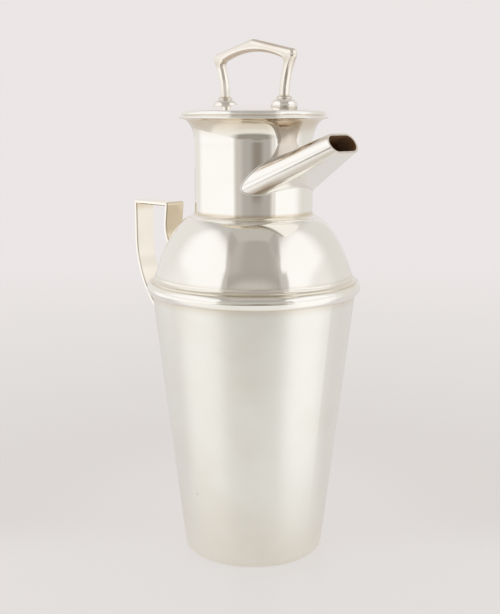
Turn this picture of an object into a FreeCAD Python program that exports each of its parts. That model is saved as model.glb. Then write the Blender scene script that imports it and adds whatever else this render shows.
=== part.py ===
import FreeCAD, Part
import math
import os

V = FreeCAD.Vector

# Silver-plated pouring pot, millimetres. +Z up, origin at the middle of the flat bottom.
# The spout points along +X and the strap handle along -X, in one upright plane with the lid's bow.

# Beaker
sheet = 1.0                     # gauge of the vessel's sheet
base_radius = 36.3              # outside of the cone, carried down to the table
mouth_radius = 52.8             # outside of the cone at its top edge
beaker_height = 142.6
foot_roll = 1.6                 # outside radius of the rolled lower edge
foot_turn_in = 3.3              # how far the wall turns in under the beaker

# Rim bead and coved flange
bead_height = 6.9
bead_proud = 2.3
flange_height = 3.0
flange_setback = 0.3            # flange foot inside the beaker's top edge
flange_foot = 0.7               # upright edge below the cove
flange_step = 0.1               # flange top outside the dome's foot
flange_ledge = 1.5              # width of ledge inside the dome's outside line
cove_hollow = 0.3               # 0.5 would be a straight slope
spigot_depth = 4.0
solder_gap = 0.1

# Shoulder dome
shoulder_setback = 2.3          # dome foot inside the beaker's top edge
knee_inset = 6.9                # where the steep lower part turns over
knee_rise = 17.0
crown_ledge = 4.4               # outside the neck, where the dome is nearly flat
crown_rise = 28.6
dome_rise = 30.3
dome_foot_lean = 109.0          # degrees, direction of the outside line at the foot
dome_neck_lean = 168.0          # degrees, direction of the outside line at the neck

# Neck
neck_radius = 29.8
neck_height = 48.7              # dome top to lip top
neck_tuck = 1.6                 # neck carried down through the dome
seat_width = 2.6
seat_height = 1.5
seat_edge_drop = 0.5            # outer edge below the top of the dome
seat_hollow_out = 0.3           # deepest place of the cove, as shares of the ring's width and height
seat_hollow_up = 0.25
flare_reach = 6.7
flare_height = 11.6
lip_proud = 0.9

# Spout
spout_overhang = 27.0           # middle of the mouth, out from the neck
spout_mouth_below_lip = 12.2
spout_mouth_width = 20.4
spout_mouth_length = 10.6       # along the cut
spout_cut = 56.0                # degrees, slope of the mouth
spout_root_below_lip = 33.6     # axis of the spout at the root section
spout_root_depth = 16.6         # root section inside the neck's outside line
spout_root_inset = 0.6          # root's sides inside the neck's outside line
spout_root_height = 16.0
pour_opening_drop = 1.0         # below the spout's axis at the neck's outside
pour_opening_width = 30.0
pour_opening_height = 10.0

# Strainer behind the spout
strainer_gauge = 0.8
strainer_lap = 2.0
strainer_hole = 2.8
strainer_pitch = 4.4

# Strap handle
strap_gauge = 2.2
strap_width = 12.5
strap_edge = 0.5                # eased long edges
strap_corner = 1.6              # outside radius of the two square bends
strap_top_below_lip = 45.8
strap_inner_top = 59.4          # outside face of the inner leg at the top bend, from the pot's axis
strap_inner_belly = 60.5        # widest place of the inner leg
strap_inner_belly_drop = 10.0
strap_landing_rise = 2.4        # upper landing above the dome's foot
strap_outer_reach = 87.8        # outside face of the outer leg
strap_outer_straight = 20.0     # straight length of the outer leg
strap_landing_height = 104.0    # lower landing on the beaker
strap_bury = 4.0                # length trimmed off where the strap meets the vessel

# Lid
lid_sheet = 1.2
lid_seat_gap = 0.3
lid_setback = 0.2               # lid's edge inside the lip
lid_edge_height = 2.5
lid_edge_width = 2.0
lid_edge_round = 1.0
lid_rise = 3.0
bezel_clearance = 0.3
bezel_sheet = 1.0
bezel_above_strainer = 1.5

# Lid bow, its turned feet and fastenings
lid_turn = -6.0                 # degrees, how the loose lid happens to stand
washer_room = 0.9               # washer inside the lid's sleeve
bow_leg = 4.8                   # leg thickness at the foot, in the bow's plane
bow_depth = 5.0                 # across the bow's plane
bow_soft = 2.3                  # softened long edges
bow_corner_round = 2.4          # corners, in the bow's plane
bow_corner_splay = 7.6          # blunt end of the roof, out from the middle of the foot
bow_corner_rise = 18.2          # lower corner of the blunt end, above the feet
bow_end_height = 3.4            # upright face of the blunt end
bow_inner_splay = 1.6
bow_inner_rise = 16.9
bow_arch_rise = 21.7
bow_apex_rise = 28.0            # of the roof's slopes, before the ridge is rounded
bow_apex_round = 12.0
foot_brim_radius = 6.5
foot_brim_height = 0.9
foot_cap_height = 3.8           # seat to the top of the rounded cap
foot_cap_bulge = 0.72           # 0.5 would be a straight cone
foot_neck_radius = 3.1
foot_ring_radius = 3.8
foot_ring_height = 1.2
tail_radius = 2.0
tail_clearance = 0.1
tail_past_nut = 1.0
washer_radius = 4.0
washer_edge = 0.8               # washer thickness at its thin side
nut_flats = 7.0
nut_height = 3.0

# Heights and radii that follow
taper = (mouth_radius - base_radius) / beaker_height
wall_across = sheet * math.hypot(1.0, taper)
dome_foot_radius = mouth_radius - shoulder_setback
dome_foot_z = beaker_height + flange_height
dome_top_z = dome_foot_z + dome_rise
lip_z = dome_top_z + neck_height
neck_bore = neck_radius - sheet
flare_z = lip_z - sheet - flare_height
flare_radius = neck_radius + flare_reach
spout_root_z = lip_z - spout_root_below_lip
spout_mouth_z = lip_z - spout_mouth_below_lip
spout_climb = (spout_mouth_z - spout_root_z) / (spout_root_depth + spout_overhang)
pour_opening_z = spout_root_z + spout_climb * spout_root_depth - pour_opening_drop
strainer_half_height = pour_opening_height / 2 + strainer_lap
strainer_half_width = pour_opening_width / 2 + strainer_lap
strap_top_z = lip_z - strap_top_below_lip
lid_under_z = lip_z + lid_seat_gap
lid_edge_z = lid_under_z + lid_edge_height
lid_radius = flare_radius - lid_setback
lid_plate_radius = lid_radius - lid_edge_width
lid_top_z = lid_edge_z + lid_rise
bezel_radius = neck_bore - bezel_clearance
bow_foot_reach = bezel_radius - bezel_sheet - washer_room - washer_radius
bow_corner_reach = bow_foot_reach + bow_corner_splay
bow_inner_reach = bow_foot_reach + bow_inner_splay
spout_reach = neck_radius + spout_overhang
TALL = 60.0 + lip_z             # taller than anything it has to trim
BREAK_THROUGH = 0.001           # share of the spout's length that its bore runs past each end
TOUCH = 0.01                    # lengths closer than this count as equal


def at(x, z):
    """Point in the pot's upright middle plane."""
    return V(x, 0, z)


def line(a, b):
    return Part.LineSegment(at(*a), at(*b)).toShape()


def arc(a, via, b):
    return Part.Arc(at(*a), at(*via), at(*b)).toShape()


def path(points):
    return [line(a, b) for a, b in zip(points, points[1:])]


def tangent_arc(start, leaving, end):
    """Arc that leaves start in the direction leaving (degrees from +X) and ends at end."""
    chord = at(*end) - at(*start)
    turn = math.atan2(chord.z, chord.x) - math.radians(leaving)
    turn = math.atan2(math.sin(turn), math.cos(turn))
    sagitta = chord.Length / 2 * math.tan(turn / 2)
    across = V(chord.z, 0, -chord.x).normalize()
    middle = at(*start) + chord * 0.5 + across * sagitta
    return Part.Arc(at(*start), middle, at(*end)).toShape()


def face_of(edges):
    return Part.Face(Part.Wire(Part.__sortEdges__(edges)))


def turned(edges):
    """Solid of revolution about the pot's axis."""
    return face_of(edges).revolve(V(0, 0, 0), V(0, 0, 1), 360).Solids[0]


def closed(points):
    return path(points + points[:1])


def circles_at(solid, radius, z):
    """Full circular edges of a turned solid at a radius and height."""
    found = []
    for edge in solid.Edges:
        curve = edge.Curve
        if isinstance(curve, Part.Circle):
            if abs(curve.Radius - radius) < TOUCH and abs(curve.Center.z - z) < TOUCH:
                found.append(edge)
    return found


def save(name, shape):
    shape.exportStep("parts/" + name + ".step")


def wall_radius(z):
    """Outside of the beaker's cone at a height."""
    return base_radius + taper * z


def beaker_wall():
    bottom_edge = base_radius - foot_turn_in
    wall = turned(closed([
        (bottom_edge, 0),
        (base_radius, 0),
        (mouth_radius, beaker_height),
        (mouth_radius - wall_across, beaker_height),
        (wall_radius(sheet) - wall_across, sheet),
        (bottom_edge, sheet),
    ]))
    wall = wall.makeFillet(foot_roll, circles_at(wall, base_radius, 0))
    inner_corner = circles_at(wall, wall_radius(sheet) - wall_across, sheet)
    return wall.makeFillet(foot_roll - sheet, inner_corner)


def beaker_base():
    return Part.makeCylinder(base_radius - foot_turn_in, sheet)


def rim_bead():
    low = beaker_height - bead_height
    middle = beaker_height - bead_height / 2
    foot = (wall_radius(low), low)
    top = (mouth_radius, beaker_height)
    return turned([line(foot, top), arc(top, (wall_radius(middle) + bead_proud, middle), foot)])


def shoulder_flange():
    foot_radius = mouth_radius - flange_setback
    cove_foot = (foot_radius, beaker_height + flange_foot)
    cove_top = (dome_foot_radius + flange_step, dome_foot_z)
    cove_via = (
        cove_top[0] + cove_hollow * (cove_foot[0] - cove_top[0]),
        cove_foot[1] + cove_hollow * (cove_top[1] - cove_foot[1]),
    )
    spigot_z = beaker_height - spigot_depth
    spigot_radius = wall_radius(spigot_z) - wall_across - solder_gap
    inner = dome_foot_radius - flange_ledge
    rest = path([
        cove_top,
        (inner, dome_foot_z),
        (inner, spigot_z),
        (spigot_radius, spigot_z),
        (spigot_radius, beaker_height),
        (foot_radius, beaker_height),
        cove_foot,
    ])
    return turned(rest + [arc(cove_foot, cove_via, cove_top)])


def heading(degrees):
    return V(math.cos(math.radians(degrees)), 0, math.sin(math.radians(degrees)))


def dome_line(inset):
    """The dome's meridian, moved in from the outside line by inset."""
    outside = Part.BSplineCurve()
    stations = [
        at(dome_foot_radius, dome_foot_z),
        at(dome_foot_radius - knee_inset, dome_foot_z + knee_rise),
        at(neck_radius + crown_ledge, dome_foot_z + crown_rise),
        at(neck_radius, dome_top_z),
    ]
    ends = {"InitialTangent": heading(dome_foot_lean), "FinalTangent": heading(dome_neck_lean)}
    outside.interpolate(Points=stations, **ends)
    if inset == 0:
        return outside.toShape()
    moved = []
    for point in stations:
        along = outside.tangent(outside.parameter(point))[0]
        moved.append(point + V(-along.z, 0, along.x) * inset)
    moved[0] = stations[0] - V(inset / math.sin(math.radians(dome_foot_lean)), 0, 0)
    moved[-1] = stations[-1] + V(0, 0, inset / math.cos(math.radians(dome_neck_lean)))
    inside = Part.BSplineCurve()
    inside.interpolate(Points=moved, **ends)
    return inside.toShape()


def ends_of(edge):
    return [(v.Point.x, v.Point.z) for v in (edge.firstVertex(), edge.lastVertex())]


def shoulder_dome():
    outside = dome_line(0)
    inside = dome_line(sheet)
    out_foot, out_top = ends_of(outside)
    in_foot, in_top = ends_of(inside)
    return turned([outside, line(out_top, in_top), inside, line(in_foot, out_foot)])


def under_dome():
    """All that lies inside the dome's outside line."""
    outside = dome_line(0)
    foot, top = ends_of(outside)
    return turned([outside] + path([top, (0, dome_top_z), (0, dome_foot_z), foot]))


def neck_seat_ring():
    outer = neck_radius + seat_width
    top = (neck_radius, dome_top_z + seat_height)
    low = dome_foot_z + crown_rise
    foot = (outer, dome_top_z - seat_edge_drop)
    deepest = (neck_radius + seat_width * seat_hollow_out, dome_top_z + seat_height * seat_hollow_up)
    hollow = arc(foot, deepest, top)
    ring = turned(path([top, (neck_radius, low), (outer, low), foot]) + [hollow])
    return ring.cut(under_dome()).Solids[0]


def flare_arc(reach, rise):
    """Quarter ellipse from the neck's upright wall to its flat lip."""
    middle = at(flare_radius, flare_z)
    ellipse = Part.Ellipse(middle + V(0, 0, rise), middle - V(reach, 0, 0), middle)
    return Part.ArcOfEllipse(ellipse, 0, math.pi / 2).toShape()


def pour_opening():
    """Oval prism cut through the neck wall behind the spout."""
    start = at(0, pour_opening_z)
    wide = start + V(0, pour_opening_width / 2, 0)
    high = start + V(0, 0, pour_opening_height / 2)
    oval = Part.Ellipse(wide, high, start).toShape()
    return Part.Face(Part.Wire(oval)).extrude(V(2 * neck_radius, 0, 0))


def neck_drum():
    foot_z = dome_top_z - neck_tuck
    drum = turned([
        line((neck_radius, foot_z), (neck_radius, flare_z)),
        flare_arc(flare_reach, flare_height),
        line((flare_radius, lip_z - sheet), (flare_radius, lip_z)),
        flare_arc(flare_reach + sheet, flare_height + sheet),
        line((neck_bore, flare_z), (neck_bore, foot_z)),
        line((neck_bore, foot_z), (neck_radius, foot_z)),
    ])
    return drum.cut(pour_opening()).Solids[0]


def lip_wire():
    low = (flare_radius, lip_z - sheet)
    high = (flare_radius, lip_z)
    via = (flare_radius + lip_proud, lip_z - sheet / 2)
    return turned([line(low, high), arc(high, via, low)])


def slot_wire(centre, across, half_width, half_height):
    """Flat oval: two straight sides joined by half rounds."""
    flat = V(0, half_width - half_height, 0)
    bulge = V(0, half_width, 0)
    rise = across * half_height
    return Part.Wire([
        Part.LineSegment(centre + flat + rise, centre - flat + rise).toShape(),
        Part.Arc(centre - flat + rise, centre - bulge, centre - flat - rise).toShape(),
        Part.LineSegment(centre - flat - rise, centre + flat - rise).toShape(),
        Part.Arc(centre + flat - rise, centre + bulge, centre + flat + rise).toShape(),
    ])


def spout_body(inset, past):
    """Tapered flat-oval tube, moved in by inset and run on past its two end sections."""
    root_x = neck_radius - spout_root_depth
    root = at(root_x, spout_root_z)
    mouth = at(spout_reach, spout_mouth_z)
    axis = mouth - root
    square = V(-axis.z, 0, axis.x).normalize()
    root_half = math.sqrt(neck_radius ** 2 - root_x ** 2) - spout_root_inset
    cut = heading(180 - spout_cut)
    beyond = axis * past
    sections = [
        slot_wire(root - beyond, square, root_half - inset, spout_root_height / 2 - inset),
        slot_wire(mouth + beyond, cut, spout_mouth_width / 2 - inset, spout_mouth_length / 2 - inset),
    ]
    return Part.makeLoft(sections, True, True)


def spout():
    neck_plug = Part.makeCylinder(neck_radius, TALL)
    shell = spout_body(0, 0).cut(spout_body(sheet, BREAK_THROUGH))
    pieces = shell.cut(neck_plug).Solids
    return max(pieces, key=lambda piece: piece.Volume)


def spout_strainer():
    spread = math.degrees(math.asin(strainer_half_width / neck_bore))
    low = at(0, pour_opening_z - strainer_half_height)
    height = 2 * strainer_half_height
    plate = Part.makeCylinder(neck_bore, height, low, V(0, 0, 1), 2 * spread)
    plate = plate.cut(Part.makeCylinder(neck_bore - strainer_gauge, height, low))
    plate.rotate(V(0, 0, 0), V(0, 0, 1), -spread)
    row_pitch = strainer_pitch * math.sin(math.radians(60))
    rows = int((pour_opening_height - strainer_hole) / row_pitch) + 1
    for row in range(rows):
        up = (row - (rows - 1) / 2) * row_pitch
        room = math.sqrt(1 - (2 * up / pour_opening_height) ** 2) * pour_opening_width / 2
        count = 2 * int((room - strainer_hole / 2) / strainer_pitch) + 1 - row % 2
        for column in range(count):
            around = (column - (count - 1) / 2) * strainer_pitch / neck_bore
            way = V(math.cos(around), math.sin(around), 0)
            drill = Part.makeCylinder(strainer_hole / 2, 2 * neck_radius, at(0, pour_opening_z + up), way)
            plate = plate.cut(drill)
    return plate.Solids[0]


def strap_face():
    """Side view of the strap: half its gauge on each side of the middle line of the loop."""
    half = strap_gauge / 2
    top_z = strap_top_z - half
    landing = (strap_bury - dome_foot_radius, dome_foot_z + strap_landing_rise)
    belly = (-strap_inner_belly - half, top_z - strap_inner_belly_drop)
    inner_top = (-strap_inner_top - half, top_z)
    outer_top = (half - strap_outer_reach, top_z)
    outer_low = (outer_top[0], top_z - strap_outer_straight)
    foot = (strap_bury - wall_radius(strap_landing_height), strap_landing_height)
    lean = math.degrees(math.atan2(-strap_inner_belly_drop, strap_inner_top - strap_inner_belly))
    wire = Part.Wire([
        tangent_arc(belly, lean, landing),
        line(belly, inner_top),
        line(inner_top, outer_top),
        line(outer_top, outer_low),
        tangent_arc(outer_low, -90, foot),
    ])
    return wire.makeOffset2D(half, 2, True, False)


def strap_handle():
    strap = strap_face().extrude(V(0, strap_width, 0))
    strap.translate(V(0, -strap_width / 2, 0))
    bends = []
    for edge in strap.Edges:
        box = edge.BoundBox
        across = box.YLength > strap_width - TOUCH and box.XLength < TOUCH
        if across and box.ZMin > strap_top_z - TOUCH:
            bends.append(edge)
    strap = strap.makeFillet(strap_corner, bends)
    beaker = Part.makeCone(base_radius, mouth_radius, beaker_height)
    trimmed = strap.cut(under_dome()).cut(beaker)
    strap = max(trimmed.Solids, key=lambda piece: piece.Volume)
    long_edges = []
    for edge in strap.Edges:
        if edge.BoundBox.YLength < TOUCH and edge.Length > 2 * strap_gauge:
            long_edges.append(edge)
    return strap.makeChamfer(strap_edge, long_edges)


def dish_z(radius, drop):
    """Height of the lid's domed plate at a radius, measured drop below its outside face."""
    ball = (lid_plate_radius ** 2 + lid_rise ** 2) / (2 * lid_rise)
    return lid_top_z - drop - ball + math.sqrt(ball ** 2 - radius ** 2)


def dish_arc(drop):
    middle = lid_plate_radius / 2
    edge = (lid_plate_radius, dish_z(lid_plate_radius, drop))
    return arc(edge, (middle, dish_z(middle, drop)), (0, dish_z(0, drop)))


def above_dish(drop):
    edge, centre = ends_of(dish_arc(drop))
    return turned([dish_arc(drop)] + path([centre, (0, TALL), (lid_plate_radius, TALL), edge]))


def below_dish(drop):
    low = lip_z - sheet
    edge, centre = ends_of(dish_arc(drop))
    return turned([dish_arc(drop)] + path([centre, (0, low), (lid_plate_radius, low), edge]))


def at_both_feet(shape):
    """Copies of a shape modelled on the pot's axis, one under each leg of the bow."""
    placed = []
    for side in (1, -1):
        copy = shape.copy()
        copy.translate(V(side * bow_foot_reach, 0, 0))
        placed.append(copy)
    return placed


def tail_holes():
    return Part.Compound(at_both_feet(Part.makeCylinder(tail_radius + tail_clearance, TALL)))


def lid_plate():
    outer = dish_arc(0)
    inner = dish_arc(lid_sheet)
    out_edge, out_centre = ends_of(outer)
    in_edge, in_centre = ends_of(inner)
    plate = turned([outer, line(out_centre, in_centre), inner, line(in_edge, out_edge)])
    return plate.cut(tail_holes()).Solids[0]


def lid_edge():
    shoulder = lid_radius - lid_edge_round
    low = (shoulder, lid_under_z)
    high = (shoulder, lid_edge_z)
    bulge = arc(high, (lid_radius, lid_under_z + lid_edge_height / 2), low)
    flat = path([low, (lid_plate_radius, lid_under_z), (lid_plate_radius, lid_edge_z), high])
    return turned(flat + [bulge])


def lid_bezel():
    inner = bezel_radius - bezel_sheet
    low = pour_opening_z + strainer_half_height + bezel_above_strainer
    sleeve = turned(closed([
        (inner, low),
        (bezel_radius, low),
        (bezel_radius, lid_top_z),
        (inner, lid_top_z),
    ]))
    return sleeve.cut(above_dish(lid_sheet)).Solids[0]


def foot_seat_z():
    return dish_z(bow_foot_reach, 0)


def foot_top_z():
    return foot_seat_z() + foot_cap_height + foot_ring_height


def handle_feet():
    """Turned collars: a brim on the lid, a rounded cap and a ring that the bow's leg stands on."""
    seat = foot_seat_z()
    cap_top = seat + foot_cap_height
    ring_top = foot_top_z()
    bore = tail_radius + tail_clearance
    brim = (foot_brim_radius, seat + foot_brim_height)
    neck = (foot_neck_radius, cap_top)
    ring_end = (foot_neck_radius, ring_top)
    cap_via = (
        foot_neck_radius + foot_cap_bulge * (foot_brim_radius - foot_neck_radius),
        brim[1] + foot_cap_bulge * (cap_top - brim[1]),
    )
    outline = path([ring_end, (bore, ring_top), (bore, lip_z), (foot_brim_radius, lip_z), brim])
    outline.append(arc(brim, cap_via, neck))
    outline.append(arc(neck, (foot_ring_radius, cap_top + foot_ring_height / 2), ring_end))
    collar = turned(outline)
    below = below_dish(0)
    return [foot.cut(below).Solids[0] for foot in at_both_feet(collar)]


def washer_low_z():
    return dish_z(bow_foot_reach + washer_radius, lid_sheet) - washer_edge


def handle_washers():
    """Washers whose upper faces follow the hollow of the lid."""
    low = washer_low_z()
    ring = Part.makeCylinder(washer_radius, lid_top_z - low, at(0, low))
    ring = ring.cut(Part.makeCylinder(tail_radius + tail_clearance, TALL))
    above = above_dish(lid_sheet)
    return Part.Compound([washer.cut(above).Solids[0] for washer in at_both_feet(ring)])


def handle_nuts():
    low = washer_low_z() - nut_height
    corner = nut_flats / math.sqrt(3)
    corners = [V(corner, 0, low)]
    for step in range(1, 7):
        turn = math.radians(60 * step)
        corners.append(V(corner * math.cos(turn), corner * math.sin(turn), low))
    nut = Part.Face(Part.makePolygon(corners)).extrude(V(0, 0, nut_height))
    nut = nut.cut(Part.makeCylinder(tail_radius, TALL))
    return Part.Compound(at_both_feet(nut))


def bow_corner(side):
    return (side * bow_corner_reach, foot_top_z() + bow_corner_rise)


def bow_shoulder(side):
    return (side * bow_corner_reach, foot_top_z() + bow_corner_rise + bow_end_height)


def bow_inner_corner(side):
    return (side * bow_inner_reach, foot_top_z() + bow_inner_rise)


def bow_outline():
    """Side view of the bow: blunt-ended roof, arch below it and a bowed leg at each end."""
    foot_z = foot_top_z()
    rise = bow_apex_rise - bow_corner_rise - bow_end_height
    slope = math.atan2(rise, bow_corner_reach)
    tangent = bow_apex_round * math.tan(slope / 2)
    roof_x = tangent * math.cos(slope)
    roof_z = foot_z + bow_apex_rise - tangent * math.sin(slope)
    edges = [
        tangent_arc((roof_x, roof_z), 180 - math.degrees(slope), (-roof_x, roof_z)),
        arc(bow_inner_corner(1), (0, foot_z + bow_arch_rise), bow_inner_corner(-1)),
    ]
    for side in (1, -1):
        outer_foot = (side * (bow_foot_reach + bow_leg / 2), foot_z)
        inner_foot = (side * (bow_foot_reach - bow_leg / 2), foot_z)
        edges += [
            line((side * roof_x, roof_z), bow_shoulder(side)),
            line(bow_shoulder(side), bow_corner(side)),
            tangent_arc(outer_foot, 90, bow_corner(side)),
            line(outer_foot, inner_foot),
            tangent_arc(inner_foot, 90, bow_inner_corner(side)),
        ]
    return edges


def bow_bar():
    """Bar of the bow's depth with its corners rounded, then its long edges."""
    bar = face_of(bow_outline()).extrude(V(0, bow_depth, 0))
    bar.translate(V(0, -bow_depth / 2, 0))
    turns = []
    for side in (1, -1):
        turns += [at(*bow_shoulder(side)), at(*bow_corner(side)), at(*bow_inner_corner(side))]
    across = []
    for edge in bar.Edges:
        if any((edge.CenterOfMass - turn).Length < TOUCH for turn in turns):
            across.append(edge)
    bar = bar.makeFillet(bow_corner_round, across)
    foot_z = foot_top_z()
    along = []
    for edge in bar.Edges:
        if edge.BoundBox.YLength < TOUCH and edge.BoundBox.ZMax > foot_z + TOUCH:
            along.append(edge)
    return bar.makeFillet(bow_soft, along)


def lid_handle():
    foot_z = foot_top_z()
    tail_low = washer_low_z() - nut_height - tail_past_nut
    tail = Part.makeCylinder(tail_radius, foot_z - tail_low, at(0, tail_low))
    bow = bow_bar().fuse(at_both_feet(tail))
    return bow.Solids[0]


def save_turned(name, shape):
    """Saves a piece of the lid, turned as the loose lid stands."""
    shape.rotate(V(0, 0, 0), V(0, 0, 1), lid_turn)
    save(name, shape)


os.makedirs("parts", exist_ok=True)
save("beaker_wall", beaker_wall())
save("beaker_base", beaker_base())
save("rim_bead", rim_bead())
save("shoulder_flange", shoulder_flange())
save("shoulder_dome", shoulder_dome())
save("neck_seat_ring", neck_seat_ring())
save("neck_drum", neck_drum())
save("lip_wire", lip_wire())
save("spout", spout())
save("spout_strainer", spout_strainer())
save("strap_handle", strap_handle())
save("lid_edge", lid_edge())
save("lid_bezel", lid_bezel())
front_foot, rear_foot = handle_feet()
save_turned("lid_plate", lid_plate())
save_turned("front_handle_foot", front_foot)
save_turned("rear_handle_foot", rear_foot)
save_turned("lid_handle", lid_handle())
save_turned("handle_washers", handle_washers())
save_turned("handle_nuts", handle_nuts())
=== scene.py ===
from math import cos, hypot, radians, sin

import bpy
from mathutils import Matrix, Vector


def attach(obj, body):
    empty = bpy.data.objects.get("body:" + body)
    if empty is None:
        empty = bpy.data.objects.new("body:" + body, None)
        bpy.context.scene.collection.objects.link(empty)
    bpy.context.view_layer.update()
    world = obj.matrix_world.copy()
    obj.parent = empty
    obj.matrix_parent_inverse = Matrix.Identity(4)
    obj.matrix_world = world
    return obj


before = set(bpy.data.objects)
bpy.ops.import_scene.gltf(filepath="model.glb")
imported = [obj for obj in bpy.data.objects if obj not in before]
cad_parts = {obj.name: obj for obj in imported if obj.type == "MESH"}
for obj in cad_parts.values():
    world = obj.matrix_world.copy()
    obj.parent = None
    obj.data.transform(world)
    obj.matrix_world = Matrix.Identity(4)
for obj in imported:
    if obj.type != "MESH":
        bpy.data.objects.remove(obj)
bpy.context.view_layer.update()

# Beaker: a tapered cup of silver-plated brass sheet with a rolled lower edge and a flat bottom
# soldered in. It is finished with fine abrasive, so it is satin, with faint lines round it, soft
# clouds, a few dried drops of water and a warmer tone towards the table.


def link(tree, source, target):
    tree.links.new(source, target)


def math_node(tree, operation, first, second=0.0):
    """A Math node; each input is a socket or a plain number."""
    node = tree.nodes.new("ShaderNodeMath")
    node.operation = operation
    for socket, given in zip(node.inputs, (first, second)):
        if isinstance(given, (int, float)):
            socket.default_value = given
        else:
            link(tree, given, socket)
    return node.outputs[0]


def plus(tree, first, second):
    return math_node(tree, "ADD", first, second)


def minus(tree, first, second):
    return math_node(tree, "SUBTRACT", first, second)


def times(tree, first, second):
    return math_node(tree, "MULTIPLY", first, second)


def greater(tree, first, second):
    return math_node(tree, "MAXIMUM", first, second)


def distance(tree, first, second):
    return math_node(tree, "ABSOLUTE", minus(tree, first, second))


def smooth_step(tree, value, low, high):
    """0 where the value is at low or beyond it, 1 at high or beyond it."""
    node = tree.nodes.new("ShaderNodeMapRange")
    node.interpolation_type = "SMOOTHSTEP"
    node.inputs["From Min"].default_value = low
    node.inputs["From Max"].default_value = high
    link(tree, value, node.inputs["Value"])
    return node.outputs["Result"]


def mottle(tree, place, scale, detail=2.0):
    node = tree.nodes.new("ShaderNodeTexNoise")
    node.inputs["Scale"].default_value = scale
    node.inputs["Detail"].default_value = detail
    link(tree, place, node.inputs["Vector"])
    return node.outputs["Fac"]


def mix_colours(tree, factor, first, second):
    """Mixes two colours; each is a socket or four numbers."""
    node = tree.nodes.new("ShaderNodeMix")
    node.data_type = "RGBA"
    link(tree, factor, node.inputs["Factor"])
    for label, given in (("A", first), ("B", second)):
        socket = next(one for one in node.inputs if one.name == label and one.type == "RGBA")
        if isinstance(given, tuple):
            socket.default_value = given
        else:
            link(tree, given, socket)
    return next(one for one in node.outputs if one.type == "RGBA")


def on_the_metal(tree, label="Object"):
    return tree.nodes.new("ShaderNodeTexCoord").outputs[label]


def parts_of(tree, vector):
    node = tree.nodes.new("ShaderNodeSeparateXYZ")
    link(tree, vector, node.inputs[0])
    return node.outputs


def new_group(name, inputs, outputs):
    """A shader node group with named sockets; returns its tree, its inputs and its outputs."""
    tree = bpy.data.node_groups.new(name, "ShaderNodeTree")
    kinds = {"number": "NodeSocketFloat", "colour": "NodeSocketColor"}
    for in_out, rows in (("INPUT", inputs), ("OUTPUT", outputs)):
        for label, kind in rows.items():
            tree.interface.new_socket(label, in_out=in_out, socket_type=kinds[kind])
    ends = tree.nodes.new("NodeGroupInput").outputs, tree.nodes.new("NodeGroupOutput").inputs
    return tree, *ends


# The angle mask is 1 at one height round the pot and fades to 0 at its reach, for what polish and
# tarnish leave in the turned angles.
angle_mask, given, result = new_group(
    "Angle Mask", {"Height": "number", "Reach": "number", "Depth": "number"}, {"Mask": "number"})
height = parts_of(angle_mask, on_the_metal(angle_mask))["Z"]
off = distance(angle_mask, height, given["Height"])
near = minus(angle_mask, 1.0, math_node(angle_mask, "DIVIDE", off, given["Reach"]))
mask = times(angle_mask, smooth_step(angle_mask, near, 0.0, 1.0), given["Depth"])
link(angle_mask, mask, result["Mask"])

# Aged silver has tarnish where its mask says and in thin clouds, smears in its gloss, and the slight
# unevenness of sheet that was shaped by hand. On the spout, the strap and the bow the same mask and
# colour also carry painted shade and painted reflection.
PATCH_SCALE = 160
PATCH_LEAST = 0.7
PATCH_SPAN = 0.5
CLOUD_SCALE = 34
CLOUD_DETAIL = 4.0
CLOUD_EDGE = (0.40, 0.75)
SMEAR_SCALE = 85
SMEAR_DETAIL = 5.0
DARKENING_DULLS = 0.08
SWELL_SCALE = 48
SWELL_DETAIL = 1.0
aged_silver, given, result = new_group(
    "Aged Silver",
    {"Silver": "colour", "Tarnish": "colour", "Tarnish and painted shade": "number", "Clouds": "number",
     "Gloss": "number", "Smears": "number", "Unevenness": "number"},
    {"Colour": "colour", "Roughness": "number", "Height": "number"})
place = on_the_metal(aged_silver)
# The amount and colour given for tarnish are also used for painted shade and painted reflection on
# the spout, the strap and the bow.
patches = times(aged_silver, mottle(aged_silver, place, PATCH_SCALE), PATCH_SPAN)
patchy_tarnish_and_shade = times(aged_silver, given["Tarnish and painted shade"], plus(aged_silver, PATCH_LEAST, patches))
clouds = mottle(aged_silver, place, CLOUD_SCALE, CLOUD_DETAIL)
clouds = times(aged_silver, smooth_step(aged_silver, clouds, *CLOUD_EDGE), given["Clouds"])
stain_and_painted_shade = math_node(aged_silver, "MINIMUM", plus(aged_silver, patchy_tarnish_and_shade, clouds), 1.0)
colour = mix_colours(aged_silver, stain_and_painted_shade, given["Silver"], given["Tarnish"])
link(aged_silver, colour, result["Colour"])
smears = mottle(aged_silver, place, SMEAR_SCALE, SMEAR_DETAIL)
smears = times(aged_silver, smears, given["Smears"])
dulled = plus(aged_silver, smears, times(aged_silver, stain_and_painted_shade, DARKENING_DULLS))
link(aged_silver, plus(aged_silver, given["Gloss"], dulled), result["Roughness"])
swell = mottle(aged_silver, place, SWELL_SCALE, SWELL_DETAIL)
link(aged_silver, times(aged_silver, swell, given["Unevenness"]), result["Height"])

BUMP_STRENGTH = 0.12
BUMP_DISTANCE = 0.001


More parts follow.
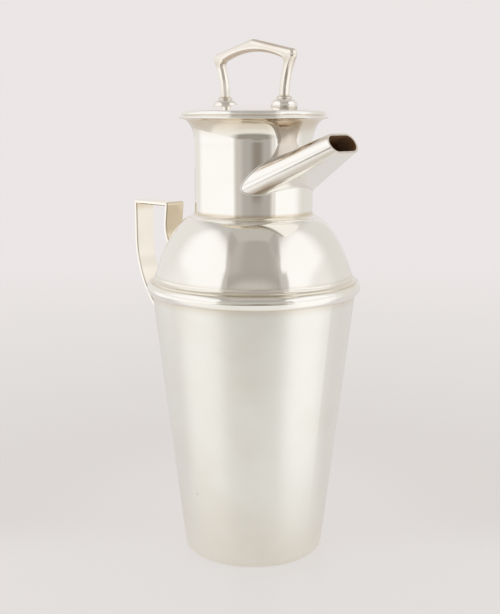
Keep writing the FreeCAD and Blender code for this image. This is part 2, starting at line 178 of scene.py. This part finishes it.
def silver_finish(name, silver, tarnish_and_shade, clouds, gloss, smears=0.03, unevenness=1.0):
    """A material of aged silver plate."""
    material = bpy.data.materials.new(name)
    material.use_nodes = True
    tree = material.node_tree
    shader = tree.nodes["Principled BSDF"]
    shader.inputs["Metallic"].default_value = 1.0
    age = tree.nodes.new("ShaderNodeGroup")
    age.name = "Age"
    age.node_tree = aged_silver
    for label, amount in (("Silver", silver), ("Tarnish", tarnish_and_shade), ("Clouds", clouds),
                          ("Gloss", gloss), ("Smears", smears), ("Unevenness", unevenness)):
        age.inputs[label].default_value = amount
    bump = tree.nodes.new("ShaderNodeBump")
    bump.inputs["Strength"].default_value = BUMP_STRENGTH
    bump.inputs["Distance"].default_value = BUMP_DISTANCE
    link(tree, age.outputs["Height"], bump.inputs["Height"])
    link(tree, bump.outputs["Normal"], shader.inputs["Normal"])
    link(tree, age.outputs["Colour"], shader.inputs["Base Color"])
    link(tree, age.outputs["Roughness"], shader.inputs["Roughness"])
    return material


def tarnish_angles(material, *angles):
    """Sets tarnish in turned angles; each is its height, its reach and its depth of colour."""
    tree = material.node_tree
    mask = None
    for angle in angles:
        node = tree.nodes.new("ShaderNodeGroup")
        node.node_tree = angle_mask
        for label, amount in zip(("Height", "Reach", "Depth"), angle):
            node.inputs[label].default_value = amount
        here = node.outputs["Mask"]
        mask = here if mask is None else greater(tree, mask, here)
    link(tree, mask, tree.nodes["Age"].inputs["Tarnish and painted shade"])
    return mask


def finish_nodes(material, *names):
    """Gives CAD nodes their finished material."""
    for name in names:
        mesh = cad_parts[name].data
        mesh.materials.clear()
        mesh.materials.append(material)


SATIN = (0.905, 0.900, 0.862, 1.0)
WARM_HAZE = (0.80, 0.72, 0.61, 1.0)
UNDER_BEAD = (0.1357, 0.004, 0.5)
TOWARDS_TABLE = (0.0, 0.060, 0.30)
ROLLED_EDGE = (0.0, 0.009, 0.45)
satin = silver_finish("beaker_satin_silver", SATIN, WARM_HAZE, clouds=0.22, gloss=0.27,
                      smears=0.10, unevenness=0.5)
tarnish_angles(satin, UNDER_BEAD, TOWARDS_TABLE, ROLLED_EDGE)
tree = satin.node_tree
shader = tree.nodes["Principled BSDF"]
age = tree.nodes["Age"]
place = on_the_metal(tree)

# Dried drops: small round marks, kept in only some of the cells that the surface is divided into.
DROP_GREY = (0.60, 0.56, 0.50, 1.0)
DROP_SCALE = 62.0
DROP_EDGE = (0.075, 0.045)
DROP_CHOICE = (0.74, 0.76)
DROP_DEPTH = 0.35
cells = tree.nodes.new("ShaderNodeTexVoronoi")
cells.inputs["Scale"].default_value = DROP_SCALE
link(tree, place, cells.inputs["Vector"])
drop = smooth_step(tree, cells.outputs["Distance"], *DROP_EDGE)
some = smooth_step(tree, parts_of(tree, cells.outputs["Color"])["X"], *DROP_CHOICE)
drop = times(tree, times(tree, drop, some), DROP_DEPTH)
spotted = mix_colours(tree, drop, age.outputs["Colour"], DROP_GREY)
link(tree, spotted, shader.inputs["Base Color"])

# Fine lines that the abrasive left round the cup.
LINE_SCALE = (14.0, 14.0, 900.0)
LINE_DETAIL = 3.0
LINE_DEPTH = 0.06
LINE_DULLS = 0.06
stretch = tree.nodes.new("ShaderNodeMapping")
stretch.inputs["Scale"].default_value = LINE_SCALE
link(tree, place, stretch.inputs["Vector"])
lines = mottle(tree, stretch.outputs["Vector"], 1.0, LINE_DETAIL)
lined = plus(tree, age.outputs["Height"], times(tree, lines, LINE_DEPTH))
link(tree, lined, tree.nodes["Bump"].inputs["Height"])
rubbed = plus(tree, age.outputs["Roughness"], times(tree, lines, LINE_DULLS))
link(tree, rubbed, shader.inputs["Roughness"])
round_the_cup = tree.nodes.new("ShaderNodeTangent")
round_the_cup.direction_type = "RADIAL"
round_the_cup.axis = "Z"
link(tree, round_the_cup.outputs["Tangent"], shader.inputs["Tangent"])
shader.inputs["Anisotropic"].default_value = 0.75
shader.inputs["Anisotropic Rotation"].default_value = 0.25
finish_nodes(satin, "beaker_wall", "beaker_base")

# Rim bead and coved flange: half-round wire soldered round the top of the beaker, and the turned
# ring above it that the shoulder stands on. Both are bright, with dark lines where they meet.
POLISHED = (0.935, 0.918, 0.880, 1.0)
STRAW = (0.68, 0.57, 0.40, 1.0)
BEAD_FOOT = (0.1357, 0.0013, 0.5)
FLANGE_FOOT = (0.1427, 0.0009, 0.6)
FLANGE_COVE = (0.1438, 0.0020, 0.42)
rim = silver_finish("rim_polished_silver", POLISHED, STRAW, clouds=0.06, gloss=0.055)
tarnish_angles(rim, BEAD_FOOT, FLANGE_FOOT, FLANGE_COVE)
finish_nodes(rim, "rim_bead", "shoulder_flange")

# Shoulder: a dome raised from sheet, plated and polished bright. Its foot is soldered into the
# flange and its top carries the neck, and both joints hold a trace of straw-coloured tarnish.
DOME_FOOT = (0.1456, 0.0016, 0.3)
DOME_TOP = (0.1768, 0.0025, 0.5)
shoulder = silver_finish("shoulder_polished_silver", POLISHED, STRAW, clouds=0.06, gloss=0.075)
tarnish_angles(shoulder, DOME_FOOT, DOME_TOP)
finish_nodes(shoulder, "shoulder_dome")

# Neck: a drum of sheet set in a coved ring on the dome, its mouth flared and stiffened with wire.
# Polish seldom reaches under the flare, so the plate there has turned golden.
GOLDEN = (0.60, 0.44, 0.22, 1.0)
UNDER_FLARE = (0.2222, 0.0085, 0.48)
NECK_FOOT = (0.1772, 0.0018, 0.5)
UNDER_LIP = (0.2236, 0.0006, 0.4)
neck = silver_finish("neck_polished_silver", POLISHED, GOLDEN, clouds=0.05, gloss=0.045)
tarnish_angles(neck, UNDER_FLARE, NECK_FOOT)
finish_nodes(neck, "neck_seat_ring", "neck_drum")
lip = silver_finish("lip_polished_silver", POLISHED, STRAW, clouds=0.08, gloss=0.05)
tarnish_angles(lip, UNDER_LIP)
finish_nodes(lip, "lip_wire")

# Spout: a tapered flat-oval tube of sheet, saddled on the neck and soldered. Its inside is coloured
# dark brown, duller and mostly not metallic. Its upper faces are browned as a painted reflection,
# and its faces turned down as painted shade, deepest near the neck.
TUBE_ROOT = (0.0132, 0.0, 0.1910)
TUBE_WAY = (0.898, 0.0, 0.440)
SPOUT_BROWN = (0.36, 0.205, 0.095, 1.0)
FACES_IN = (-0.05, -0.25)
FACES_UP = (0.35, 0.62)
FACES_DOWN = (-0.24, -0.50)
NOT_UNDER = (-0.80, -0.60)
TUBE_NEAR_NECK = (0.036, 0.026)
UPPER_PAINTED_REFLECTION = 0.36
LOWER_PAINTED_SHADE = 0.34
ROOT_PAINTED_SHADE = 0.30
INSIDE_LESS_METALLIC = 0.9
INSIDE_DULLS = 0.4


def vector_node(tree, operation, first, second=None):
    """A Vector Math node; each input is a socket or three numbers."""
    node = tree.nodes.new("ShaderNodeVectorMath")
    node.operation = operation
    for socket, given in zip(node.inputs, (first, second)):
        if isinstance(given, tuple):
            socket.default_value = given
        elif given is not None:
            link(tree, given, socket)
    return node.outputs["Value" if operation in ("DOT_PRODUCT", "LENGTH") else "Vector"]


spout = silver_finish("spout_polished_silver", POLISHED, SPOUT_BROWN, clouds=0.04, gloss=0.06)
tree = spout.node_tree
shader = tree.nodes["Principled BSDF"]
age = tree.nodes["Age"]
place = on_the_metal(tree)
normal = on_the_metal(tree, "Normal")
from_root = vector_node(tree, "SUBTRACT", place, TUBE_ROOT)
along = vector_node(tree, "PROJECT", from_root, TUBE_WAY)
outward = vector_node(tree, "NORMALIZE", vector_node(tree, "SUBTRACT", from_root, along))
facing = vector_node(tree, "DOT_PRODUCT", outward, normal)
inside = smooth_step(tree, facing, *FACES_IN)
turned = parts_of(tree, normal)["Z"]
# Painted light: a painted reflection in brown on the upper faces, and painted shade on the faces
# turned down, deeper near the neck.
above = times(tree, smooth_step(tree, turned, *FACES_UP), UPPER_PAINTED_REFLECTION)
below = times(tree, smooth_step(tree, turned, *FACES_DOWN), smooth_step(tree, turned, *NOT_UNDER))
near_neck = smooth_step(tree, parts_of(tree, place)["X"], *TUBE_NEAR_NECK)
depth = plus(tree, LOWER_PAINTED_SHADE, times(tree, near_neck, ROOT_PAINTED_SHADE))
darkened_mask = greater(tree, above, times(tree, below, depth))
link(tree, greater(tree, inside, darkened_mask), age.inputs["Tarnish and painted shade"])
# The inside is made dark brown, duller and mostly not metallic.
metallic_left = minus(tree, 1.0, times(tree, inside, INSIDE_LESS_METALLIC))
link(tree, metallic_left, shader.inputs["Metallic"])
dulled = plus(tree, age.outputs["Roughness"], times(tree, inside, INSIDE_DULLS))
link(tree, dulled, shader.inputs["Roughness"])
finish_nodes(spout, "spout")

# Solder along the spout's root: a fine bead of silver solder run round the saddle, filed down and
# left a little duller than the polished plate on either side of it.
NECK_RADIUS = 0.0298
ON_NECK = 0.00002
SPOUT_SOLDER = 0.00040
SOLDER_ROUND = 3
SAME_POINT = 0.000001
SOLDER_GREY = (0.86, 0.84, 0.80, 1.0)
SOLDER_BROWN = (0.52, 0.42, 0.29, 1.0)
solder = silver_finish("solder_dull_silver", SOLDER_GREY, SOLDER_BROWN, clouds=0.45, gloss=0.15)


def solder_line(name, node, on_joint, outer, thickness):
    """A bead of solder along the edge of a CAD node's cut end; on_joint tells which points lie on
    the cut, and outer which of the faces beside it are on the outside."""
    bead = bpy.data.objects.new(name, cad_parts[node].data.copy())
    bpy.context.scene.collection.objects.link(bead)
    bpy.ops.object.select_all(action="DESELECT")
    bead.select_set(True)
    bpy.context.view_layer.objects.active = bead
    bpy.ops.object.mode_set(mode="EDIT")
    bpy.ops.mesh.select_mode(type="EDGE")
    bpy.ops.mesh.select_all(action="SELECT")
    bpy.ops.mesh.remove_doubles(threshold=SAME_POINT)
    bpy.ops.mesh.select_all(action="DESELECT")
    bpy.ops.object.mode_set(mode="OBJECT")
    mesh = bead.data
    joint = {point.index for point in mesh.vertices if on_joint(point.co)}
    cut, beside = set(), set()
    for face in mesh.polygons:
        if joint.issuperset(face.vertices):
            cut.update(face.edge_keys)
        elif outer(face):
            beside.update(face.edge_keys)
    for edge in mesh.edges:
        edge.select = edge.key in cut and edge.key in beside
    bpy.ops.object.mode_set(mode="EDIT")
    bpy.ops.mesh.duplicate()
    bpy.ops.mesh.select_all(action="INVERT")
    bpy.ops.mesh.delete(type="VERT")
    bpy.ops.object.mode_set(mode="OBJECT")
    bpy.ops.object.convert(target="CURVE")
    bead = bpy.context.object
    bead.data.bevel_depth = thickness
    bead.data.bevel_resolution = SOLDER_ROUND
    bpy.ops.object.convert(target="MESH")
    bead = bpy.context.object
    bead.name = name
    bpy.ops.object.shade_smooth()
    bead.data.materials.clear()
    bead.data.materials.append(solder)
    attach(bead, "vessel")


def on_the_neck(point):
    return abs(hypot(point.x, point.y) - NECK_RADIUS) < ON_NECK


def outside_the_tube(face):
    way = Vector(TUBE_WAY).normalized()
    out = face.center - Vector(TUBE_ROOT)
    return face.normal.dot(out - way * out.dot(way)) > 0.0


solder_line("spout_solder", "spout", on_the_neck, outside_the_tube, SPOUT_SOLDER)

# Strainer: a pierced plate of plated brass behind the spout's root, soldered over the pour opening.
# No cloth reaches it, so it is as dull and brown as the inside of the spout.
STRAINER_GREY = (0.62, 0.55, 0.45, 1.0)
STRAINER_BROWN = (0.24, 0.16, 0.09, 1.0)
strainer = silver_finish("strainer_dull_silver", STRAINER_GREY, STRAINER_BROWN,
                         clouds=0.7, gloss=0.30)
finish_nodes(strainer, "spout_strainer")

# Strap handle: a band of thick sheet, bent square at the top and soldered to the shoulder and the
# beaker. Hands keep its outside bright; what faces the pot has yellowed, and under the top bend the
# outer leg's face towards the pot is darkened further with painted shadow.
STRAP_SILVER = (0.985, 0.945, 0.870, 1.0)
STRAP_YELLOW = (0.74, 0.60, 0.40, 1.0)
FACES_POT = (0.2, 0.8)
INNER_LEG = (-0.074, -0.068)
OUTER_LEG = (-0.068, -0.074)
UNDER_BEND = (0.1715, 0.1765)
STRAP_STAIN = 0.12
INNER_STAIN = 0.58
CORNER_PAINTED_SHADOW = 0.55
strap = silver_finish("strap_polished_silver", STRAP_SILVER, STRAP_YELLOW, clouds=0.16, gloss=0.09,
                      smears=0.06)
tree = strap.node_tree
place = parts_of(tree, on_the_metal(tree))
turned = parts_of(tree, on_the_metal(tree, "Normal"))["X"]
towards_pot = smooth_step(tree, turned, *FACES_POT)
inner_leg = smooth_step(tree, place["X"], *INNER_LEG)
# Painted shadow: the outer leg's face towards the pot, under the top bend, is darkened further.
shadowed_corner = times(tree, smooth_step(tree, place["X"], *OUTER_LEG),
                     smooth_step(tree, place["Z"], *UNDER_BEND))
depth = plus(tree, STRAP_STAIN, times(tree, inner_leg, INNER_STAIN))
depth = plus(tree, depth, times(tree, shadowed_corner, CORNER_PAINTED_SHADOW))
link(tree, times(tree, towards_pot, depth), tree.nodes["Age"].inputs["Tarnish and painted shade"])
finish_nodes(strap, "strap_handle")

# Solder at the strap's lower landing: the same fine bead of silver solder, run round the end of the
# strap where it meets the wall of the beaker.
BASE_RADIUS = 0.0363
MOUTH_RADIUS = 0.0528
BEAKER_HEIGHT = 0.1426
ON_BEAKER = 0.00003
STRAP_SOLDER = 0.00045


def on_the_beaker(point):
    wall = BASE_RADIUS + (MOUTH_RADIUS - BASE_RADIUS) * point.z / BEAKER_HEIGHT
    return abs(hypot(point.x, point.y) - wall) < ON_BEAKER


def any_side(face):
    return True


solder_line("strap_solder", "strap_handle", on_the_beaker, any_side, STRAP_SOLDER)

# Lid: a shallow dished plate of plated brass with a rounded edge ring, and a sleeve under it that
# slips into the neck. It lifts straight off.
LID_SILVER = (0.955, 0.942, 0.910, 1.0)
lid = silver_finish("lid_polished_silver", LID_SILVER, STRAW, clouds=0.08, gloss=0.06)
finish_nodes(lid, "lid_plate", "lid_edge", "lid_bezel")

# Seat bead: a fine round turned on the underside of the lid's edge, in the same plated brass. The
# lid rests on the lip by it.
SEAT_REACH = 0.03545
SEAT_HEIGHT = 0.22473
SEAT_ROUND = 0.00025
SEAT_CORNERS = 16
SEAT_STEPS = 240
bpy.ops.object.select_all(action="DESELECT")
bpy.ops.mesh.primitive_circle_add(vertices=SEAT_CORNERS, radius=SEAT_ROUND,
                                  location=(SEAT_REACH, 0.0, SEAT_HEIGHT),
                                  rotation=(radians(90), 0.0, 0.0))
seat = bpy.context.object
seat.name = "lid_seat_bead"
bpy.ops.object.transform_apply(location=True, rotation=True, scale=True)
bpy.ops.object.mode_set(mode="EDIT")
bpy.ops.mesh.select_all(action="SELECT")
bpy.ops.mesh.spin(steps=SEAT_STEPS, angle=radians(360), center=(0.0, 0.0, 0.0), axis=(0.0, 0.0, 1.0))
bpy.ops.mesh.select_all(action="SELECT")
bpy.ops.mesh.remove_doubles(threshold=SAME_POINT)
bpy.ops.mesh.normals_make_consistent(inside=False)
bpy.ops.object.mode_set(mode="OBJECT")
bpy.ops.object.shade_smooth()
seat.data.materials.append(lid)
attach(seat, "lid")

# Bow: a cast bar bent into a low gable on two turned feet, held by nuts inside the lid. Handling has
# worn it warm and soft; its upper faces are browned as a painted reflection of the grey overhead,
# and its underside is darkened as painted shade. The feet have stayed whiter, with brown in their
# angles.
BOW_SILVER = (0.965, 0.922, 0.860, 1.0)
BOW_BROWN = (0.52, 0.39, 0.25, 1.0)
FEET_SILVER = (0.955, 0.932, 0.892, 1.0)
FEET_BROWN = (0.50, 0.40, 0.28, 1.0)
COLLAR = (0.2341, 0.0010, 0.6)
BOW_ELBOW = (0.2510, 0.0030, 0.30)
FEET_LOW = (0.2285, 0.0018, 0.6)
BOW_TOP = (0.55, 0.85)
BOW_UNDERSIDE = (-0.25, -0.70)
TOP_PAINTED_REFLECTION = 0.50
UNDERSIDE_PAINTED_SHADE = 0.62
bow = silver_finish("bow_polished_silver", BOW_SILVER, BOW_BROWN, clouds=0.16, gloss=0.075,
                    smears=0.05)
tree = bow.node_tree
angles = tarnish_angles(bow, COLLAR, BOW_ELBOW)
turned = parts_of(tree, on_the_metal(tree, "Normal"))["Z"]
# Painted light: the upper faces take the brown as a painted reflection and the underside as painted
# shade; the angles hold tarnish.
above = times(tree, smooth_step(tree, turned, *BOW_TOP), TOP_PAINTED_REFLECTION)
below = times(tree, smooth_step(tree, turned, *BOW_UNDERSIDE), UNDERSIDE_PAINTED_SHADE)
darkened_mask = greater(tree, angles, greater(tree, above, below))
link(tree, darkened_mask, tree.nodes["Age"].inputs["Tarnish and painted shade"])
finish_nodes(bow, "lid_handle")
feet = silver_finish("feet_polished_silver", FEET_SILVER, FEET_BROWN, clouds=0.16, gloss=0.06)
tarnish_angles(feet, COLLAR, FEET_LOW)
finish_nodes(feet, "front_handle_foot", "rear_handle_foot")

# Washers and nuts: plain turned brass, screwed up on the bow's threaded tails inside the lid. They
# were never plated, and are dull with age.
BRASS = (0.70, 0.53, 0.27, 1.0)
BRASS_BROWN = (0.35, 0.24, 0.12, 1.0)
brass = silver_finish("fastener_plain_brass", BRASS, BRASS_BROWN, clouds=0.6, gloss=0.28)
finish_nodes(brass, "handle_washers", "handle_nuts")

# Studio: a pale table with no visible edge, a tall white diffuser on each side of the pot, and the
# grey of the room between them, in front and overhead.
TABLE_TURN = radians(44)


def in_studio(right, back, up):
    """A place as the camera sees it: metres to the right, away and up."""
    return (right * cos(TABLE_TURN) - back * sin(TABLE_TURN),
            right * sin(TABLE_TURN) + back * cos(TABLE_TURN), up)


def studio_panel(name, width, height, middle, turn):
    """A flat glowing panel that the camera doesn't see; returns its tree and its Emission node."""
    bpy.ops.object.select_all(action="DESELECT")
    bpy.ops.mesh.primitive_plane_add(size=1.0, location=middle, rotation=turn)
    panel = bpy.context.object
    panel.name = name
    panel.scale = (width, height, 1.0)
    bpy.ops.object.transform_apply(location=False, rotation=False, scale=True)
    panel.visible_camera = False
    material = bpy.data.materials.new(name)
    material.use_nodes = True
    tree = material.node_tree
    tree.nodes.remove(tree.nodes["Principled BSDF"])
    glow = tree.nodes.new("ShaderNodeEmission")
    link(tree, glow.outputs[0], tree.nodes["Material Output"].inputs["Surface"])
    panel.data.materials.append(material)
    return tree, glow


# Each diffuser is white from its front edge to its back edge and fades upwards. In front of it the
# side of the room shows as a pale strip, a ledge and a wall. Bands are in metres.
PANEL_OUT = 0.55
PANEL_TOP = 1.75
PANEL_FRONT = -0.90
PANEL_BACK = 1.1
ROOM_GREY = (0.455, 0.430, 0.400, 1.0)
CARD_PALE = (0.61, 0.575, 0.53, 1.0)
STRIP_PALE = (0.80, 0.77, 0.73, 1.0)
LEDGE_PALE = (0.58, 0.56, 0.52, 1.0)
WALL_GREY = (0.56, 0.535, 0.50, 1.0)
FADED_GREY = (0.58, 0.56, 0.53, 1.0)
LAMP_WHITE = (1.05, 1.04, 1.03, 1.0)
LOW_BAND = (0.30, 0.18)
BACK_BLUR = 0.15
DIM_BAND = (0.09, 0.02)
DIM_DEPTH = 0.6
FADE_BAND = (0.74, 1.28)
LEAN_FROM = 0.75
LEAN_RATE = 0.66
LOW_EDGE_BAND = (0.70, 0.58)
FRONT_BLUR = 0.03
FADED_BLUR = 0.10
STRIP_BAND = (-0.78, -0.85)
LEDGE_FROM = (0.28, 0.36)
LEDGE_TO = (0.61, 0.66)
WALL_BAND = (0.90, 1.10)
for name, side, low_front, front, back, low_shift, beyond, dim_height in (
        ("left_diffuser", -1, -0.71, -0.75, 0.16, -0.20, (0.84, 0.82, 0.79, 1.0), 0.27),
        ("right_diffuser", 1, -0.63, -0.79, 0.10, 0.07, (0.77, 0.75, 0.71, 1.0), 0.31)):
    middle = (PANEL_FRONT + PANEL_BACK) / 2
    tree, glow = studio_panel(name, PANEL_BACK - PANEL_FRONT, PANEL_TOP,
                              in_studio(side * PANEL_OUT, middle, PANEL_TOP / 2),
                              (radians(90), 0.0, TABLE_TURN + side * radians(90)))
    place = parts_of(tree, on_the_metal(tree))
    away = plus(tree, middle, times(tree, place["X"], float(side)))
    up = plus(tree, place["Y"], PANEL_TOP / 2)
    shifted = plus(tree, away, times(tree, smooth_step(tree, up, *LOW_BAND), low_shift))
    white = smooth_step(tree, shifted, back + BACK_BLUR, back - BACK_BLUR)
    dim = smooth_step(tree, distance(tree, up, dim_height), *DIM_BAND)
    white = times(tree, white, minus(tree, 1.0, times(tree, dim, DIM_DEPTH)))
    fading = smooth_step(tree, up, *FADE_BAND)
    white = times(tree, white, minus(tree, 1.0, fading))
    unlit = mix_colours(tree, fading, beyond, FADED_GREY)
    lit = mix_colours(tree, white, unlit, LAMP_WHITE)
    lean = times(tree, greater(tree, minus(tree, up, LEAN_FROM), 0.0), LEAN_RATE)
    set_back = times(tree, smooth_step(tree, up, *LOW_EDGE_BAND), low_front - front)
    past = minus(tree, minus(tree, away, plus(tree, lean, set_back)), front)
    blur = plus(tree, FRONT_BLUR, times(tree, fading, FADED_BLUR))
    in_front = smooth_step(tree, math_node(tree, "DIVIDE", past, blur), 1.0, -1.0)
    strip = mix_colours(tree, smooth_step(tree, away, *STRIP_BAND), STRIP_PALE, CARD_PALE)
    shade = mix_colours(tree, smooth_step(tree, up, *LEDGE_FROM), strip, LEDGE_PALE)
    wall = mix_colours(tree, smooth_step(tree, up, *WALL_BAND), WALL_GREY, ROOM_GREY)
    shade = mix_colours(tree, smooth_step(tree, up, *LEDGE_TO), shade, wall)
    link(tree, mix_colours(tree, in_front, lit, shade), glow.inputs["Color"])

# The room in front is darkest in its middle, low down, above a sill; a ledge and a wall are above.
CARD_MIDDLE = 0.10
CARD_EDGE = (0.58, 0.36)
CORE_DARK = (0.29, 0.255, 0.215, 1.0)
CORE_BAND = (0.26, 0.04)
SILL_HEIGHT = 0.08
SILL_BAND = (0.045, 0.02)
SILL_DEPTH = 0.75
UPPER_DARK = (0.43, 0.405, 0.375, 1.0)
UPPER_PALE = (0.50, 0.475, 0.44, 1.0)
UPPER_BAND = (0.25, 0.50)
LEDGE_SHADOW = (0.40, 0.375, 0.345, 1.0)
SHADOW_FROM = (0.61, 0.655)
SHADOW_TO = (0.66, 0.76)
LOW_TO = (0.22, 0.30)
tree, glow = studio_panel("room_in_front", 2 * PANEL_OUT, PANEL_TOP,
                          in_studio(0.0, PANEL_FRONT, PANEL_TOP / 2), (radians(90), 0.0, TABLE_TURN))
place = parts_of(tree, on_the_metal(tree))
up = plus(tree, place["Y"], PANEL_TOP / 2)
out = distance(tree, place["X"], CARD_MIDDLE)
edge = mix_colours(tree, smooth_step(tree, out, *CARD_EDGE), CARD_PALE, ROOM_GREY)
sill = smooth_step(tree, distance(tree, up, SILL_HEIGHT), *SILL_BAND)
core = times(tree, smooth_step(tree, out, *CORE_BAND),
             minus(tree, 1.0, times(tree, sill, SILL_DEPTH)))
low = mix_colours(tree, core, edge, CORE_DARK)
upper = mix_colours(tree, smooth_step(tree, out, *UPPER_BAND), UPPER_DARK, UPPER_PALE)
ledge = mix_colours(tree, smooth_step(tree, up, *SHADOW_FROM), LEDGE_PALE, LEDGE_SHADOW)
above = mix_colours(tree, smooth_step(tree, up, *SHADOW_TO), ledge, upper)
link(tree, mix_colours(tree, smooth_step(tree, up, *LOW_TO), low, above), glow.inputs["Color"])

# Overhead and behind, the room is plain.
OVERHEAD_DEEP = 1.24
OVERHEAD_BACK = -0.34
OVERHEAD_GREY = (0.54, 0.515, 0.475, 1.0)
BACKDROP = (0.832, 0.795, 0.788, 1.0)
CEILING = (0.68, 0.65, 0.63, 1.0)
CEILING_BAND = (0.45, 0.80)
tree, glow = studio_panel("room_overhead", 2 * PANEL_OUT, OVERHEAD_DEEP,
                          in_studio(0.0, OVERHEAD_BACK, PANEL_TOP), (radians(180), 0.0, TABLE_TURN))
glow.inputs["Color"].default_value = OVERHEAD_GREY
world = bpy.data.worlds.new("studio")
bpy.context.scene.world = world
world.use_nodes = True
tree = world.node_tree
height = parts_of(tree, on_the_metal(tree, "Generated"))["Z"]
ceiling = mix_colours(tree, smooth_step(tree, height, *CEILING_BAND), BACKDROP, CEILING)
link(tree, ceiling, tree.nodes["Background"].inputs["Color"])

# The table is paler near the pot and towards the camera, and meets the backdrop without a line.
TABLE_RADIUS = 4.0
TABLE_SIDES = 96
TABLE_LEVEL = -0.0003
TABLE_PAINT = (0.86, 0.83, 0.82, 1.0)
TABLE_GLOSS = 0.16
TABLE_NEAR = (0.825, 0.795, 0.782, 1.0)
TABLE_PALE = (0.738, 0.709, 0.690, 1.0)
TABLE_FRONT = (0.855, 0.828, 0.818, 1.0)
NEAR_BAND = (0.04, 0.20)
BACKDROP_BAND = (0.05, 1.1)
FRONT_BAND = (0.03, -0.03)
bpy.ops.object.select_all(action="DESELECT")
bpy.ops.mesh.primitive_circle_add(vertices=TABLE_SIDES, radius=TABLE_RADIUS, fill_type="NGON",
                                  location=(0, 0, TABLE_LEVEL))
table = bpy.context.object
table.name = "table"
surface = bpy.data.materials.new("pale_table")
surface.use_nodes = True
tree = surface.node_tree
shader = tree.nodes["Principled BSDF"]
shader.inputs["Base Color"].default_value = TABLE_PAINT
shader.inputs["Roughness"].default_value = TABLE_GLOSS
place = on_the_metal(tree)
reach = vector_node(tree, "LENGTH", place)
right = vector_node(tree, "DOT_PRODUCT", place, in_studio(1.0, 0.0, 0.0))
back = vector_node(tree, "DOT_PRODUCT", place, in_studio(0.0, 1.0, 0.0))
seen = mix_colours(tree, smooth_step(tree, reach, *NEAR_BAND), TABLE_NEAR, TABLE_PALE)
seen = mix_colours(tree, smooth_step(tree, reach, *BACKDROP_BAND), seen, BACKDROP)
seen = mix_colours(tree, smooth_step(tree, back, *FRONT_BAND), seen, TABLE_FRONT)

# What the metal shows of the table: a glow towards each diffuser, and the dark past its front edge.
BEFORE_POT = (0.05, -0.08)
SHOWN_NEAR = (0.84, 0.825, 0.79, 1.0)
SHOWN_BRIGHT = (0.90, 0.885, 0.85, 1.0)
BRIGHT_BAND = (-0.20, -0.30)
SHOWN_DARK = (0.34, 0.31, 0.27, 1.0)
DARK_BAND = (-0.34, -0.49)
GLOW_TURN = radians(66)
GLOW_SPREAD = (0.76, 0.98)
GLOW_BAND = (0.02, 0.20)
before_pot = smooth_step(tree, back, *BEFORE_POT)
shown = mix_colours(tree, before_pot, TABLE_PALE, SHOWN_NEAR)
shown = mix_colours(tree, smooth_step(tree, back, *BRIGHT_BAND), shown, SHOWN_BRIGHT)
shown = mix_colours(tree, smooth_step(tree, back, *DARK_BAND), shown, SHOWN_DARK)
for side, glowing in ((-1, (0.97, 0.95, 0.91, 1.0)), (1, (1.06, 1.05, 1.02, 1.0))):
    across = times(tree, right, side * sin(GLOW_TURN))
    ahead = times(tree, back, -cos(GLOW_TURN))
    towards = math_node(tree, "DIVIDE", plus(tree, across, ahead), reach)
    glow_here = times(tree, smooth_step(tree, towards, *GLOW_SPREAD),
                      smooth_step(tree, reach, *GLOW_BAND))
    shown = mix_colours(tree, times(tree, glow_here, before_pot), shown, glowing)

# Near the pot the camera sees part paint, which takes the pot's shadow, and part plain pale table.
PLAIN_LEAST = 0.6
PLAIN_SPAN = 0.4
PLAIN_BAND = (0.10, 0.45)
path = tree.nodes.new("ShaderNodeLightPath").outputs
pale = tree.nodes.new("ShaderNodeEmission")
link(tree, mix_colours(tree, path["Is Glossy Ray"], seen, shown), pale.inputs["Color"])
plain = plus(tree, PLAIN_LEAST, times(tree, smooth_step(tree, reach, *PLAIN_BAND), PLAIN_SPAN))
plain = greater(tree, times(tree, plain, path["Is Camera Ray"]), path["Is Glossy Ray"])
mixed = tree.nodes.new("ShaderNodeMixShader")
link(tree, plain, mixed.inputs["Fac"])
link(tree, shader.outputs[0], mixed.inputs[1])
link(tree, pale.outputs[0], mixed.inputs[2])
link(tree, mixed.outputs[0], tree.nodes["Material Output"].inputs["Surface"])
table.data.materials.append(surface)

# Camera: a long lens level with the lip of the pot, tilted a little down so that the whole pot
# stands in the picture.
LENS = 55.77
CAMERA_PLACE = (-0.00186, -0.4838, 0.2234)
CAMERA_TILT = radians(78.82)
camera = bpy.data.objects.new("camera", bpy.data.cameras.new("camera"))
bpy.context.scene.collection.objects.link(camera)
camera.data.lens = LENS
camera.location = in_studio(*CAMERA_PLACE)
camera.rotation_euler = (CAMERA_TILT, 0.0, TABLE_TURN)
bpy.context.scene.camera = camera
bpy.context.scene.view_settings.view_transform = "Standard"
